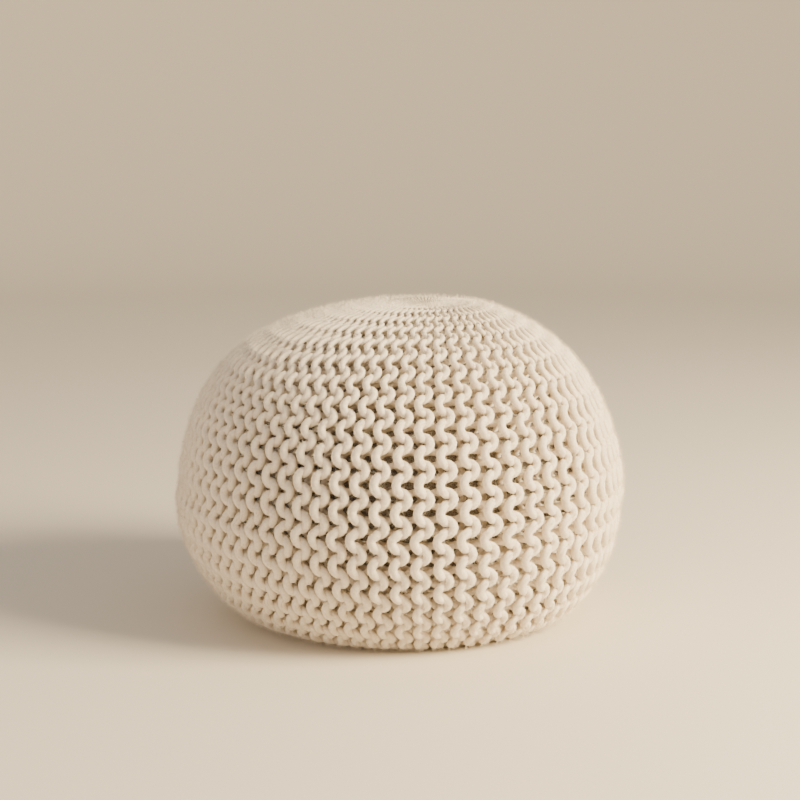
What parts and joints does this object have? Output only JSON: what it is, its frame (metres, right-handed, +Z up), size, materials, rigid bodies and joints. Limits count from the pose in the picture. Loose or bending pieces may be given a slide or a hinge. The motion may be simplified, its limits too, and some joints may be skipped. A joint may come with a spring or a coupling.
{
  "type": "knitted pouf",
  "caption": "Round filled pouf in chunky garter-stitch yarn, ribbed from its gathered crown over the belly to a flat foot; a soft low seat or footrest.",
  "frame": {"origin": "on the floor, under the middle of the belly", "axes": "+Z up through the crown; +X is the side that the crown leans to slightly, at the right of the picture's view; -Y faces the viewer"},
  "size_m": [0.5, 0.5, 0.349],
  "materials": {
    "yarn": "matte, soft and slightly fuzzy cream yarn"
  },
  "bodies": {
    "root": {"knitted_pouf": "yarn"}
  },
  "joints": []
}
